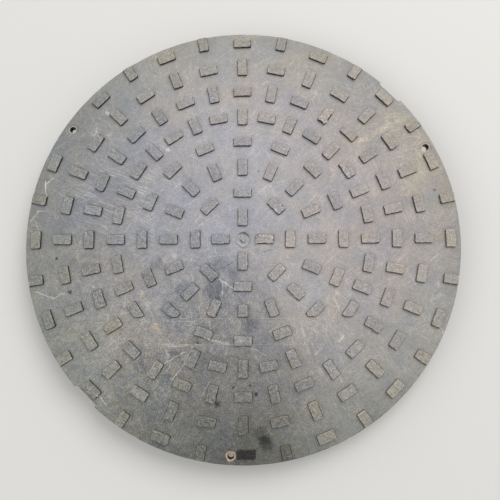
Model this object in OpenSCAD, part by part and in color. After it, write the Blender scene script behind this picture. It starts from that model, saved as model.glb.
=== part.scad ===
// Round screw-down cover of a plastic drain inspection chamber, moulded in one piece.
// The origin is on the cover's axis at the foot of its skirt, and the tread faces +Z.
// Angles run anticlockwise from +X as seen from above.

/* [Cover plate] */
// Diameter over the rim
cover_d = 450; // [440:1:480]
// Height from the foot of the skirt to the top of the plate
cover_h = 32; // [26:1:45]
// Thickness of the plate inside the skirt
plate_t = 5; // [4:0.5:8]
// Thickness of the flange, which bears on the chamber's frame
flange_t = 8; // [6:0.5:12]
// Chamfer along the rim's top and bottom edges
rim_chamfer = 1; // [0.5:0.25:2]

/* [Tread pads] */
// Length of a pad at its foot
pad_l = 18.5; // [14:0.5:20]
// Width of a pad at its foot
pad_w = 10; // [7:0.5:12]
// Height of a pad above the plate
pad_h = 3; // [1.5:0.5:5]
// Slope of a pad's sides, in degrees
pad_draft = 6; // [2:1:12]
// Corner cut of a pad
pad_corner = 1.5; // [0.5:0.25:2.5]
// Radius of the innermost ring of pads
first_ring_r = 23; // [20:0.5:25]
// Radial step between the rings of pads
ring_pitch = 27.5; // [26:0.25:27.75]
// Distance from the rim to the middle of the outermost ring of pads
outer_ring_inset = 11; // [9:0.5:12]

/* [Label strip] */
// Distance of the strip's upper edge below the cover's centre
strip_drop = 81.5; // [80:0.5:84]
// Height of the strip
strip_h = 26; // [24:0.5:30]
// Length of the strip
strip_l = 168; // [150:1:180]
// Clear space between the strip and the pads cut short above it
strip_clear = 1.5; // [0.5:0.25:3]
// Width of the fine line that the mould insert's edge leaves
witness_w = 0.6; // [0.4:0.1:1]
// Height of that line
witness_h = 0.2; // [0.1:0.05:0.4]

/* [Gate boss] */
// Diameter of the low boss at the centre
boss_d = 14.5; // [12:0.5:18]
// Height of the boss above the plate
boss_h = 0.8; // [0.4:0.1:1.4]
// Diameter of the dish in the boss
dish_d = 10.5; // [8:0.5:11]
// Depth of the dish, measured from the top of the boss
dish_depth = 0.6; // [0.2:0.1:1]
// Diameter of the gate stub in the dish
stub_d = 5.5; // [3:0.5:7]
// Height of the gate stub above the plate
stub_h = 1.2; // [0.5:0.1:2]

/* [Screw holes] */
// Distance from the rim to the middle of a screw hole
screw_inset = 8.8; // [8:0.1:10]
// Direction of the first of the three screw holes, in degrees
screw_angle = 26.7; // [25:0.1:28]
// Diameter of a screw hole
screw_d = 5.5; // [4:0.5:6.5]
// Diameter of a countersink at the plate's top
sink_d = 10; // [8:0.5:12]
// Depth of a countersink
sink_depth = 2.5; // [1.5:0.25:4]

/* [Lifting notches] */
// Direction of the first of the two opposite notches, in degrees
notch_angle = 45; // [40:1:50]
// Width of a notch at its floor
notch_w = 27; // [20:1:32]
// Depth of a notch from the rim
notch_depth = 3.3; // [2:0.1:4]
// How much each end of a notch flares out towards the rim
notch_flare = 1.5; // [0:0.25:3]

/* [Underside] */
// Outside diameter of the skirt that drops into the chamber's frame
skirt_d = 408; // [400:1:414]
// Thickness of the skirt at its foot
skirt_t = 3.5; // [3:0.5:5]
// How much the skirt's inner face leans in from foot to plate
skirt_lean = 0.7; // [0:0.1:1.5]
// Lead-in chamfer at the skirt's foot
skirt_lead = 1.5; // [0.5:0.25:2]
// Thickness of the stiffening ribs
rib_t = 3; // [2.5:0.25:4]
// Height of the ribs' lower edges above the skirt's foot
rib_lift = 3; // [0:0.5:10]
// Radial step between the rib rings
rib_pitch = 33; // [30:0.5:35]
// Diameter of the solid hub where the ribs meet
hub_d = 22; // [16:1:30]

/* [Hidden] */
$fn = 96;

PLASTIC = [0.56, 0.57, 0.58];
EPS = 0.01;
SINK = 0.5;            // how deep a joined shape reaches into what carries it
SPOKES = 32;
RINGS = 8;
SCREWS = 3;
SCREW_SPOKE = 13;      // the outermost ring leaves this spoke's pad out for a screw hole
LABEL_SPOKES = [20, 21, 27, 28];
LABEL_RING = 5;        // this ring leaves the label spokes' pads out
RIB_RINGS = 5;

cover_r = cover_d / 2;
skirt_r = skirt_d / 2;
top_z = cover_h;
plate_z = top_z - plate_t;
flange_z = top_z - flange_t;
outer_ring_r = cover_r - outer_ring_inset;
screw_r = cover_r - screw_inset;
spoke_step = 360 / SPOKES;

// Radius of the middle of ring 1 to 8
function ring_r(ring) = ring == 1 ? first_ring_r : outer_ring_r - (RINGS - ring) * ring_pitch;

// The rings fill up outwards: 4, 8, 16, 16 and then 32 pads
function spoke_skip(ring) = ring == 1 ? 8 : ring == 2 ? 4 : ring < LABEL_RING ? 2 : 1;

// Pads turn in a chequer: along the radius where ring and spoke add up to an odd number
function is_radial(ring, spoke) = (ring + spoke) % 2 == 1;

// The last ring's radial pads start level with its cross pads and run out over the rim
function pad_r(ring, spoke) =
    ring == RINGS && is_radial(ring, spoke) ? ring_r(ring) - pad_w / 2 + pad_l / 2 : ring_r(ring);

function pad_y(ring, spoke) = pad_r(ring, spoke) * sin(spoke * spoke_step);

function is_left_out(ring, spoke) =
    (ring == LABEL_RING && len(search(spoke, LABEL_SPOKES)) > 0)
    || (ring == RINGS && spoke == SCREW_SPOKE);

// Pads whose middle is just above the label strip are cut short along it
function meets_strip(ring, spoke) =
    pad_y(ring, spoke) > -strip_drop && pad_y(ring, spoke) < pad_l - strip_drop;

function runs_over_rim(ring, spoke) = ring == RINGS && is_radial(ring, spoke);

// Outline of a pad, drawn in by the given distance, with cut corners
function pad_outline(inset) =
    let (x = pad_l / 2 - inset, y = pad_w / 2 - inset, c = pad_corner)
    [
        [x, y - c], [x - c, y], [c - x, y], [-x, y - c],
        [-x, c - y], [c - x, -y], [x - c, -y], [x, c - y]
    ];

// One drafted pad, lying along X on the plane z = 0
module pad() {
    slope = tan(pad_draft);
    foot = pad_outline(-SINK * slope);
    head = pad_outline(pad_h * slope);
    n = len(foot);
    points = [
        for (p = foot) [p[0], p[1], -SINK],
        for (p = head) [p[0], p[1], pad_h]
    ];
    faces = [
        [for (i = [0 : n - 1]) i],
        [for (i = [n - 1 : -1 : 0]) n + i],
        for (i = [0 : n - 1]) [i, n + i, n + (i + 1) % n, (i + 1) % n]
    ];
    polyhedron(points, faces);
}

// One pad in its place on the tread
module placed_pad(ring, spoke) {
    rotate([0, 0, spoke * spoke_step])
        translate([pad_r(ring, spoke), 0, top_z])
            rotate([0, 0, is_radial(ring, spoke) ? 0 : 90])
                pad();
}

// The pads of one ring that stay whole
module whole_pads(ring) {
    for (spoke = [0 : spoke_skip(ring) : SPOKES - 1])
        if (!is_left_out(ring, spoke) && !meets_strip(ring, spoke) && !runs_over_rim(ring, spoke))
            placed_pad(ring, spoke);
}

// The pads above the label strip, cut short along its edge
module strip_pads() {
    difference() {
        for (ring = [1 : RINGS - 1], spoke = [0 : spoke_skip(ring) : SPOKES - 1])
            if (!is_left_out(ring, spoke) && meets_strip(ring, spoke))
                placed_pad(ring, spoke);
        translate([-strip_l / 2, -strip_drop - strip_h, top_z - SINK - EPS])
            cube([strip_l, strip_h + strip_clear, pad_h + SINK + 2 * EPS]);
    }
}

// The last ring's radial pads, cut round by the rim
module rim_pads() {
    intersection() {
        for (spoke = [0 : SPOKES - 1])
            if (runs_over_rim(RINGS, spoke) && !is_left_out(RINGS, spoke))
                placed_pad(RINGS, spoke);
        translate([0, 0, top_z - SINK - EPS])
            cylinder(r = cover_r - rim_chamfer, h = pad_h + SINK + 2 * EPS);
    }
}

// Plate, flange and skirt as one turned section
module shell() {
    rotate_extrude()
        polygon([
            [0, plate_z],
            [skirt_r - skirt_t - skirt_lean, plate_z],
            [skirt_r - skirt_t, 0],
            [skirt_r - skirt_lead, 0],
            [skirt_r, skirt_lead],
            [skirt_r, flange_z],
            [cover_r - rim_chamfer, flange_z],
            [cover_r, flange_z + rim_chamfer],
            [cover_r, top_z - rim_chamfer],
            [cover_r - rim_chamfer, top_z],
            [0, top_z]
        ]);
}

// Radius of rib ring 1 to 5, counted inwards from the skirt
function rib_ring_r(i) = skirt_r - skirt_t - i * rib_pitch;

// Every fourth rib runs in to the hub, every second to the innermost ring, the others to the third
function rib_start(spoke) = spoke % 4 == 0 ? 0 : rib_ring_r(spoke % 2 == 0 ? RIB_RINGS : 3);

// Plan of the ribs: rings, spokes and the hub in the middle
module rib_plan() {
    for (i = [1 : RIB_RINGS])
        difference() {
            circle(r = rib_ring_r(i) + rib_t / 2);
            circle(r = rib_ring_r(i) - rib_t / 2);
        }
    for (spoke = [0 : SPOKES - 1])
        rotate(spoke * spoke_step)
            translate([rib_start(spoke), -rib_t / 2])
                square([skirt_r - skirt_t / 2 - rib_start(spoke), rib_t]);
    circle(d = hub_d);
}

module ribs() {
    translate([0, 0, rib_lift])
        linear_extrude(height = plate_z - rib_lift + SINK)
            rib_plan();
}

// Fine lines along the upper and lower edges of the label strip
module witness_lines() {
    for (y = [-strip_drop, -strip_drop - strip_h])
        translate([-strip_l / 2, y - witness_w / 2, top_z - SINK])
            cube([strip_l, witness_w, SINK + witness_h]);
}

// Low dished boss with the stub of the moulding gate
module gate_boss() {
    translate([0, 0, top_z - SINK]) {
        difference() {
            cylinder(d = boss_d, h = SINK + boss_h);
            translate([0, 0, SINK + boss_h - dish_depth])
                cylinder(d = dish_d, h = dish_depth + EPS);
        }
        cylinder(d = stub_d, h = SINK + stub_h);
    }
}

// One countersunk hole through the flange
module screw_hole() {
    translate([0, 0, flange_z - EPS])
        cylinder(d = screw_d, h = flange_t + 2 * EPS);
    translate([0, 0, top_z - sink_depth])
        cylinder(d1 = screw_d, d2 = sink_d, h = sink_depth);
    translate([0, 0, top_z - EPS])
        cylinder(d = sink_d, h = pad_h + 2 * EPS);
}

// One notch for a lifting bar, cut through the flange
module notch() {
    beyond = 1;
    flare = notch_flare * (notch_depth + beyond) / notch_depth;
    translate([0, 0, flange_z - beyond])
        linear_extrude(height = flange_t + pad_h + 2 * beyond)
            polygon([
                [cover_r - notch_depth, -notch_w / 2],
                [cover_r + beyond, -notch_w / 2 - flare],
                [cover_r + beyond, notch_w / 2 + flare],
                [cover_r - notch_depth, notch_w / 2]
            ]);
}

module cover() {
    color(PLASTIC)
        difference() {
            union() {
                shell();
                ribs();
                for (ring = [1 : RINGS])
                    whole_pads(ring);
                strip_pads();
                rim_pads();
                witness_lines();
                gate_boss();
            }
            for (i = [0 : SCREWS - 1])
                rotate([0, 0, screw_angle + i * 360 / SCREWS])
                    translate([screw_r, 0, 0])
                        screw_hole();
            for (turn = [0, 180])
                rotate([0, 0, notch_angle + turn])
                    notch();
        }
}

cover();
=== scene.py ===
# %% [markdown]
# # The cover of a drain inspection chamber
#
# The real thing is one injection moulding of black polypropylene, 450 mm across, that has
# lain outdoors for years. Feet and gravel have scuffed its upper face to a pale grey, while
# the flanks of the tread pads and the whole underside are still close to black.
#
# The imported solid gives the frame. This script dresses it with pieces that share its one
# body: the turned shell with its flange and skirt, the ribs underneath, the tread pads, the
# mark of the moulding gate, and the fine lines that the label insert left.

# %% Load the frame
import math
import random

import bpy
from mathutils import Matrix, Vector, noise


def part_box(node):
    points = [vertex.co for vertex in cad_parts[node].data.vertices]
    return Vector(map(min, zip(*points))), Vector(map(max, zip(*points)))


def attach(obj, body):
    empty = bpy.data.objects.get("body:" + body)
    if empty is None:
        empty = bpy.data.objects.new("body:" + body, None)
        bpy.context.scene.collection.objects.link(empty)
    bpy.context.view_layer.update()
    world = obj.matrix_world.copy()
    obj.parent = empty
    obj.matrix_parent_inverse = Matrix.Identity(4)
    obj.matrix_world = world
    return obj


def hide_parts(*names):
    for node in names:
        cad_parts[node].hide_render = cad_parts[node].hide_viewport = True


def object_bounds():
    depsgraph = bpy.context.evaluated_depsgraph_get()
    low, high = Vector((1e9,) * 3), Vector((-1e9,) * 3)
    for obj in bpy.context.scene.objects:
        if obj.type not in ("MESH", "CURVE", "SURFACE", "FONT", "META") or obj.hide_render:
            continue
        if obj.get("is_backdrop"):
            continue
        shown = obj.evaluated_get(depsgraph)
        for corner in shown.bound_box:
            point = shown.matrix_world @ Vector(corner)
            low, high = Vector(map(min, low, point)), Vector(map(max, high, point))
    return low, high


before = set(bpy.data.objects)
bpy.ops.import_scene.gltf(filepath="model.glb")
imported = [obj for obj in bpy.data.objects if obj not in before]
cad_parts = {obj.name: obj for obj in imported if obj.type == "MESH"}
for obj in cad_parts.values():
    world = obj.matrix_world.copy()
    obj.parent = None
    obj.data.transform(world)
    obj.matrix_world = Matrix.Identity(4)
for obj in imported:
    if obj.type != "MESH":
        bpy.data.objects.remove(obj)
cad_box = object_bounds()
low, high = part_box("cover")
print("frame of", len(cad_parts), "node, box", [round(v, 4) for v in (*low, *high)])

# %% [markdown]
# ## Sizes
#
# All lengths below are in millimetres, because that is how a moulder thinks of them, and
# Blender works in metres, so every piece is scaled once, when its mesh is made. The rim's
# radius and the plate's height come from the frame. The rest repeats the part's own sizes.

# %% Sizes of the moulding
MM = 0.001
PAD_H = 3.0
RIM_R = round(high.x / MM)
TOP = round(high.z / MM) - PAD_H
PLATE_T = 5.0
UNDER_Z = TOP - PLATE_T
FLANGE_T = 8.0
SEAT_Z = TOP - FLANGE_T
SKIRT_R = 204.0
SKIRT_T = 3.5
SKIRT_LEAN = 0.7
print("rim radius", RIM_R, "mm, plate top at", TOP, "mm")

# %% [markdown]
# ## Camera
#
# The cover is seen from nearly straight above, from a little over half a metre above its
# plate and slightly towards the near edge, so that the eye sits over the disc and no side
# wall shows. A camera that looks almost straight down has no natural upright, so its axes
# are built from the direction that should point up in the picture.

# %% Camera
EYE = Vector((0.0118, -0.0825, 0.5877))
AIM = Vector((0.0074, -0.0114, 0.0320))
ROLL = math.radians(0.243)


def add_object(name, data):
    """Puts new data into the scene as an object."""
    made = bpy.data.objects.new(name, data)
    bpy.context.scene.collection.objects.link(made)
    return made


back = (EYE - AIM).normalized()
right = Vector((math.sin(ROLL), math.cos(ROLL), 0)).cross(back).normalized()
turned = Matrix((right, back.cross(right), back)).transposed()

camera_data = bpy.data.cameras.new("camera")
camera_data.lens = 39.1
camera_data.sensor_width = 36.0
camera = add_object("camera", camera_data)
camera.matrix_world = Matrix.Translation(EYE) @ turned.to_4x4()
bpy.context.scene.camera = camera
bpy.context.scene.view_settings.view_transform = "Standard"
print("camera leans", round(math.degrees(back.angle(Vector((0, 0, 1)))), 1), "degrees")

# %% [markdown]
# ## Wiring nodes
#
# Materials and geometry trees are both graphs of nodes. This small helper adds a node, sets
# its options, feeds its sockets with numbers or with other nodes' outputs, and hands back
# the node, so that the steps of a finish read in order like a recipe.

# %% A helper that wires nodes
class Wiring:
    """Adds nodes to one tree, and feeds each socket with a value or a link."""

    def __init__(self, tree):
        self.tree = tree

    def feed(self, socket, value):
        if isinstance(value, bpy.types.NodeSocket):
            self.tree.links.new(value, socket)
        elif value is not None:
            socket.default_value = value

    def node(self, kind, inputs=None, **options):
        made = self.tree.nodes.new(kind)
        for name, value in options.items():
            setattr(made, name, value)
        for key, value in (inputs or {}).items():
            self.feed(made.inputs[key], value)
        return made

    def math(self, operation, a, b=None, c=None):
        return self.node("ShaderNodeMath", {0: a, 1: b, 2: c}, operation=operation).outputs[0]

    def vector(self, operation, a, b=None, c=None, scale=None):
        """One step of vector arithmetic, which ends in a vector or, where it measures, a number."""
        made = self.node("ShaderNodeVectorMath", {0: a, 1: b, 2: c}, operation=operation)
        if scale is not None:
            self.feed(made.inputs["Scale"], scale)
        measures = operation in ("LENGTH", "DISTANCE", "DOT_PRODUCT")
        return made.outputs["Value" if measures else "Vector"]

    def parts(self, vector):
        """The X, Y and Z of a vector."""
        return self.node("ShaderNodeSeparateXYZ", {0: vector}).outputs

    def joined(self, x=None, y=None, z=None):
        """A vector from its parts. A part that isn't given is 0."""
        return self.node("ShaderNodeCombineXYZ", {"X": x, "Y": y, "Z": z}).outputs[0]

    def add_up(self, terms, result=0.0):
        """Sum of values, each a number, a socket, or a (socket, weight) pair. Long sums come as
        generators, so that each term is added before the next is made, because a shader can
        hold only some 250 numbers at a time."""
        for term in terms:
            if isinstance(term, tuple):
                result = self.math("MULTIPLY_ADD", *term, result)
            else:
                result = self.math("ADD", term, result)
        return result

    def total(self, *terms):
        return self.add_up(terms)

    def times(self, product, *factors):
        for factor in factors:
            product = self.math("MULTIPLY", product, factor)
        return product

    def within(self, value, lowest, highest):
        return self.math("MINIMUM", self.math("MAXIMUM", value, lowest), highest)

    def fade(self, value, start, end, low=0.0, high=1.0):
        """Goes smoothly from low to high as the value goes from start to end."""
        made = self.node(
            "ShaderNodeMapRange",
            {"Value": value, "From Min": start, "From Max": end, "To Min": low, "To Max": high},
            interpolation_type="SMOOTHSTEP", clamp=False,
        )
        return made.outputs["Result"]

    def mix(self, amount, a, b, blend="MIX", past_ends=False):
        """One colour at 0 and another at 1, or past_ends also what lies beyond the two."""
        made = self.node(
            "ShaderNodeMix", {0: amount, 6: a, 7: b},
            data_type="RGBA", blend_type=blend, clamp_factor=not past_ends,
        )
        return made.outputs[2]

    def noise(self, place, size, detail=3.0, roughness=0.55, distortion=0.0):
        """Even-centred noise whose features are about size units across."""
        values = {"Vector": place, "Scale": 1 / size, "Detail": detail, "Roughness": roughness}
        values["Distortion"] = distortion
        return self.node("ShaderNodeTexNoise", values).outputs["Fac"]

    def seen_from(self, place, move=(0.0, 0.0, 0.0), turn=0.0, size=(1.0, 1.0, 1.0)):
        """The place measured in a frame that is moved, turned about Z and given its own scale."""
        values = {"Vector": place, "Location": move, "Rotation": (0.0, 0.0, turn), "Scale": size}
        return self.node("ShaderNodeMapping", values, vector_type="TEXTURE").outputs[0]


def screen(red, green, blue):
    """A colour given as it looks on screen, turned into the linear values that shading uses."""
    def linear(level):
        c = level / 255
        return c / 12.92 if c <= 0.04045 else ((c + 0.055) / 1.055) ** 2.4

    return (linear(red), linear(green), linear(blue), 1.0)


# %% [markdown]
# ## Floor and light
#
# The floor is plain and pale. The light is a bright even sky with one very large, soft lamp
# over the far right, which gives the scuffed plastic the broad sheen that fades towards the
# near edge, and keeps the flanks of the pads that face the eye in shade. A weaker lamp on
# the left lifts those shadows a little.

# %% Floor, sky and lamps
FLOOR_SIZE = 20.0


def floor_material():
    made = bpy.data.materials.new("pale_floor")
    made.use_nodes = True
    shader = made.node_tree.nodes["Principled BSDF"]
    shader.inputs["Base Color"].default_value = screen(226, 225, 221)
    shader.inputs["Roughness"].default_value = 0.9
    return made


def lay_floor():
    half = FLOOR_SIZE / 2
    mesh = bpy.data.meshes.new("floor")
    corners = [(-half, -half, 0), (half, -half, 0), (half, half, 0), (-half, half, 0)]
    mesh.from_pydata(corners, [], [(0, 1, 2, 3)])
    mesh.materials.append(floor_material())
    add_object("floor", mesh)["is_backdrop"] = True


def hang_lamp(name, place, size, power):
    """A large square lamp that faces the middle of the cover."""
    data = bpy.data.lights.new(name, "AREA")
    data.shape = "SQUARE"
    data.size = size
    data.energy = power
    made = add_object(name, data)
    made.location = place
    made.rotation_mode = "QUATERNION"
    made.rotation_quaternion = (-Vector(place)).to_track_quat("-Z", "Y")
    print(name, "of", power, "W hangs", round(Vector(place).length, 2), "m away")


world = bpy.data.worlds.new("even_sky")
world.use_nodes = True
sky = world.node_tree.nodes["Background"].inputs
sky["Color"].default_value = (1.0, 1.0, 1.0, 1.0)
sky["Strength"].default_value = 0.56
bpy.context.scene.world = world

lay_floor()
hang_lamp("sheen_lamp", (0.75, 1.05, 1.7), 1.3, 22.0)
hang_lamp("fill_lamp", (-1.4, -0.6, 1.6), 1.4, 7.5)

# %% [markdown]
# ## The turned shell
#
# Plate, flange and skirt are one section turned about the cover's axis. A solid of rings
# made in plain mesh code is the simplest way to keep the section's small radii: a rounded
# rim, a fillet where the skirt leaves the flange, and a lead-in at its foot. The upper face
# gets many rings, because a moulded plate that size is never quite flat.

# %% Turning a section
def piece_from(name, points, faces):
    """A piece from points in millimetres, with smooth faces that stay crisp at real edges."""
    mesh = bpy.data.meshes.new(name)
    mesh.from_pydata([Vector(p) * MM for p in points], [], faces)
    mesh.validate()
    mesh.shade_smooth()
    mesh.set_sharp_from_angle(angle=math.radians(40))
    return add_object(name, mesh)


def polar(radius, angle):
    """The point at a radius and an angle in radians."""
    return radius * math.cos(angle), radius * math.sin(angle)


def band_faces(loops, count, first=0, flipped=False):
    """Faces between loops of count points each, which follow one another in a mesh."""
    faces = []
    for start in range(first, first + (loops - 1) * count, count):
        for k in range(count):
            after = (k + 1) % count
            face = (start + k, start + count + k, start + count + after, start + after)
            faces.append((face[0], *face[:0:-1]) if flipped else face)
    return faces


def turned_solid(name, section, steps, shift=lambda x, y, z: (x, y, z)):
    """Turns a section of (radius, height) points, both ends on the axis, into a closed solid."""
    rings = section[1:-1]
    points = [shift(0, 0, section[0][1])]
    for radius, height in rings:
        points += [shift(*polar(radius, 2 * math.pi * k / steps), height) for k in range(steps)]
    points.append(shift(0, 0, section[-1][1]))
    last, bottom = len(points) - 1, 1 + (len(rings) - 1) * steps
    faces = [(0, 1 + k, 1 + (k + 1) % steps) for k in range(steps)]
    faces += band_faces(len(rings), steps, first=1)
    faces += [(last, bottom + (k + 1) % steps, bottom + k) for k in range(steps)]
    return piece_from(name, points, faces)


def arc(centre_x, centre_y, radius, start, end, steps):
    """Points of a fillet or a round, from start to end degrees."""
    points = []
    for i in range(steps + 1):
        x, y = polar(radius, math.radians(start + (end - start) * i / steps))
        points.append((centre_x + x, centre_y + y))
    return points


# %% The shell's section
RIM_ROUND = 1.1
SEAT_ROUND = 0.8
ROOT_FILLET = 1.0
SKIRT_LEAD = 1.5
FACE_RINGS = 46


def shell_section():
    """From the middle of the upper face round the rim, under the flange and down the skirt,
    then up inside it and back to the axis."""
    inner_r = SKIRT_R - SKIRT_T
    flat_r = RIM_R - RIM_ROUND - 0.6
    face = [(flat_r * i / FACE_RINGS, TOP) for i in range(FACE_RINGS + 1)]
    rim = arc(RIM_R - RIM_ROUND, TOP - RIM_ROUND, RIM_ROUND, 90, 0, 5)
    seat = arc(RIM_R - SEAT_ROUND, SEAT_Z + SEAT_ROUND, SEAT_ROUND, 0, -90, 3)
    root = arc(SKIRT_R + ROOT_FILLET, SEAT_Z - ROOT_FILLET, ROOT_FILLET, 90, 180, 4)
    foot = [
        (SKIRT_R, SKIRT_LEAD), (SKIRT_R - SKIRT_LEAD, 0.0), (inner_r + 0.5, 0.0), (inner_r, 0.5),
    ]
    lean_r = inner_r - SKIRT_LEAN
    inside = [(lean_r, UNDER_Z - 1.5), (lean_r - 0.4, UNDER_Z - 0.4), (lean_r - 1.5, UNDER_Z)]
    return face + rim + seat + root + foot + inside + [(0.0, UNDER_Z)]


section = shell_section()
print("the section has", len(section), "points")

# %% [markdown]
# The upper face waves by a tenth of a millimetre or so, which breaks up its sheen, and years
# of being dragged over gravel have nicked the rim. Both come from smooth noise that fades out
# where the shell has to stay true: only the rim is nicked, and the seat and skirt are left.

# %% The shell, waved and nicked
WAVE = 0.16
NICK = 0.55
NICK_REACH = 3.0
SHELL_STEPS = 480


def smooth(x, y, z):
    """Smooth noise about zero whose features are about one unit across."""
    return noise.noise(Vector((x, y, z)))


def clipped(share):
    """The share, kept between 0 and 1."""
    return min(1.0, max(0.0, share))


def weather(x, y, z):
    """Moves a point of the shell by its waviness or, at the rim, by its nicks. The waves are
    some 55 and 18 mm across, the nicks some 9 and 3 mm."""
    if z < TOP - 3.0 * RIM_ROUND:
        return (x, y, z)
    radius = math.hypot(x, y)
    wave = smooth(x / 55, y / 55, 2.0) + 0.5 * smooth(x / 18, y / 18, 7.0)
    at_rim = clipped((radius - RIM_R + NICK_REACH) / NICK_REACH)
    chip = max(0.0, smooth(x / 9, y / 9, z / 4) - 0.18)
    chip += 0.35 * max(0.0, smooth(x / 3.1, y / 3.1, z / 2) - 0.1)
    nick = NICK * at_rim * chip
    inward = 1 - nick / max(radius, 1.0)
    return (x * inward, y * inward, z - WAVE * 0.5 * (1 + wave) * (1 - at_rim) - nick * 0.7)


shell = turned_solid("cover_shell", section, SHELL_STEPS, weather)
print("shell of", len(shell.data.polygons), "faces")

# %% [markdown]
# ## Screw holes and lifting notches
#
# Three countersunk holes take the screws that hold the cover down, and two notches in the
# rim take a lifting bar. They are cut with exact booleans, as a drill and a milling cutter
# would, and the result is turned into a plain mesh so that no modifier is left on the piece.

# %% Cutting tools
SCREW_R = RIM_R - 8.8
SCREW_ANGLES = {"far right": 26.7, "left": 146.7, "near": 266.7}
NOTCH_ANGLES = [45.0, 225.0]
NOTCH_W = 27.0
NOTCH_DEPTH = 3.3
NOTCH_FLARE = 1.5
CUT_SPARE = 1.5
HOLE_STEPS = 48


def plain_mesh(piece):
    """Turns a piece's modifiers into its mesh."""
    bpy.context.view_layer.update()
    depsgraph = bpy.context.evaluated_depsgraph_get()
    mesh = bpy.data.meshes.new_from_object(piece.evaluated_get(depsgraph))
    piece.modifiers.clear()
    piece.data = mesh
    return piece


def cut(piece, tools):
    """Cuts a piece with boolean tools and removes them."""
    for tool in tools:
        step = piece.modifiers.new("cut", "BOOLEAN")
        step.operation = "DIFFERENCE"
        step.solver = "EXACT"
        step.object = tool
    plain_mesh(piece)
    for tool in tools:
        bpy.data.objects.remove(tool)


def from_top(profile):
    """A section whose heights are given from the plate's upper face."""
    return [(radius, TOP + height) for radius, height in profile]


def screw_tool(angle):
    """Countersink and through hole as one turned tool, with a worn lip at the mouth."""
    x, y = polar(SCREW_R, math.radians(angle))
    profile = [
        (0.0, 4.0), (5.6, 4.0), (5.6, 0.3), (5.3, -0.15), (4.6, -0.5),
        (3.5, -1.0), (3.2, -2.4), (2.75, -5.0), (2.75, -9.5), (0.0, -9.5),
    ]
    return turned_solid(
        "screw_tool", from_top(profile), HOLE_STEPS, lambda px, py, pz: (px + x, py + y, pz)
    )


def notch_tool(angle):
    """A flared block that cuts the rim down to the notch's flat floor."""
    reach = NOTCH_DEPTH + CUT_SPARE
    flare = NOTCH_FLARE * reach / NOTCH_DEPTH
    floor_r, half = RIM_R - NOTCH_DEPTH, NOTCH_W / 2
    plan = [
        (floor_r, -half), (floor_r + reach, -half - flare),
        (floor_r + reach, half + flare), (floor_r, half),
    ]
    c, s = polar(1, math.radians(angle))
    points = [
        (px * c - py * s, px * s + py * c, z)
        for z in (SEAT_Z - 2, TOP + 3)
        for px, py in plan
    ]
    caps = [(3, 2, 1, 0), (4, 5, 6, 7)]
    return piece_from("notch_tool", points, caps + band_faces(2, 4, flipped=True))


cut(shell, [screw_tool(a) for a in SCREW_ANGLES.values()] + [notch_tool(a) for a in NOTCH_ANGLES])
print("shell after cutting has", len(shell.data.polygons), "faces")

# %% [markdown]
# ## Geometry nodes for what repeats
#
# The ribs and the tread pads repeat by a rule, so each set is a small geometry-node tree
# with its sizes as named inputs. A tree is a recipe: it can be opened, its numbers changed,
# and the whole set follows. Its inputs are set by the sockets' identifiers before the object
# is first evaluated, and the result is turned into a plain mesh.

# %% A tree with named inputs
def new_tree(name, family, inputs, output):
    """An empty tree of the given family. Hands back the tree, its wiring, what it is given, and
    the socket for its result. Inputs and output go by name, each with its kind of socket."""
    tree = bpy.data.node_groups.new(name, family + "NodeTree")
    for side, sockets in (("INPUT", inputs), ("OUTPUT", output)):
        for label, kind in sockets.items():
            tree.interface.new_socket(label, in_out=side, socket_type="NodeSocket" + kind)
    w = Wiring(tree)
    given = w.node("NodeGroupInput").outputs
    return tree, w, given, w.node("NodeGroupOutput").inputs[0]


def geometry_tree(name, sizes, **others):
    """A geometry tree that is given geometry, sizes, a material and perhaps other things."""
    inputs = {"Geometry": "Geometry", **dict.fromkeys(sizes, "Float"), **others}
    return new_tree(name, "Geometry", {**inputs, "Material": "Material"}, {"Geometry": "Geometry"})


def painted(w, geometry, material):
    values = {"Geometry": geometry, "Material": material}
    return w.node("GeometryNodeSetMaterial", values).outputs[0]


def grow(piece, tree, values):
    """Runs a tree on a piece with the given input values, and keeps the result as its mesh."""
    step = piece.modifiers.new(tree.name, "NODES")
    step.node_group = tree
    sockets = {s.name: s.identifier for s in tree.interface.items_tree if s.in_out == "INPUT"}
    for label, value in values.items():
        step[sockets[label]] = value
    return plain_mesh(piece)


def number_points(mesh, label, values):
    mesh.attributes.new(label, "FLOAT", "POINT").data.foreach_set("value", values)


def skeleton(name, points, edges=(), numbers=None):
    """Points and edges in millimetres for a tree to grow from, with named numbers per point."""
    mesh = bpy.data.meshes.new(name)
    mesh.from_pydata([Vector(p) * MM for p in points], edges, [])
    for label, values in (numbers or {}).items():
        number_points(mesh, label, values)
    return add_object(name, mesh)


# %% [markdown]
# ## Ribs
#
# A flat plate of soft plastic would sag under a foot, so its underside carries five rings
# and thirty-two spokes. The tree sweeps one drafted rib section along a skeleton of lines:
# wide where it joins the plate, narrower at its free edge, so that it leaves the mould.

# %% Rib skeleton and tree
SPOKES = 32
SPOKE_STEP = 2 * math.pi / SPOKES
RIB_T = 3.0
RIB_LIFT = 3.0
RIB_ROOT = 0.3
RIB_PITCH = 33.0
RIB_RINGS = 5
RING_STEPS = 192
HUB_R = 11.0


def rib_ring_r(i):
    """Radius of rib ring 1 to 5, counted inwards from the skirt."""
    return SKIRT_R - SKIRT_T - i * RIB_PITCH


def rib_start(spoke):
    """Every fourth spoke starts at the hub, those halfway at the last ring, the others at ring 3."""
    if spoke % 4 == 0:
        return HUB_R - 2
    return rib_ring_r(RIB_RINGS if spoke % 2 == 0 else 3)


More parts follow.
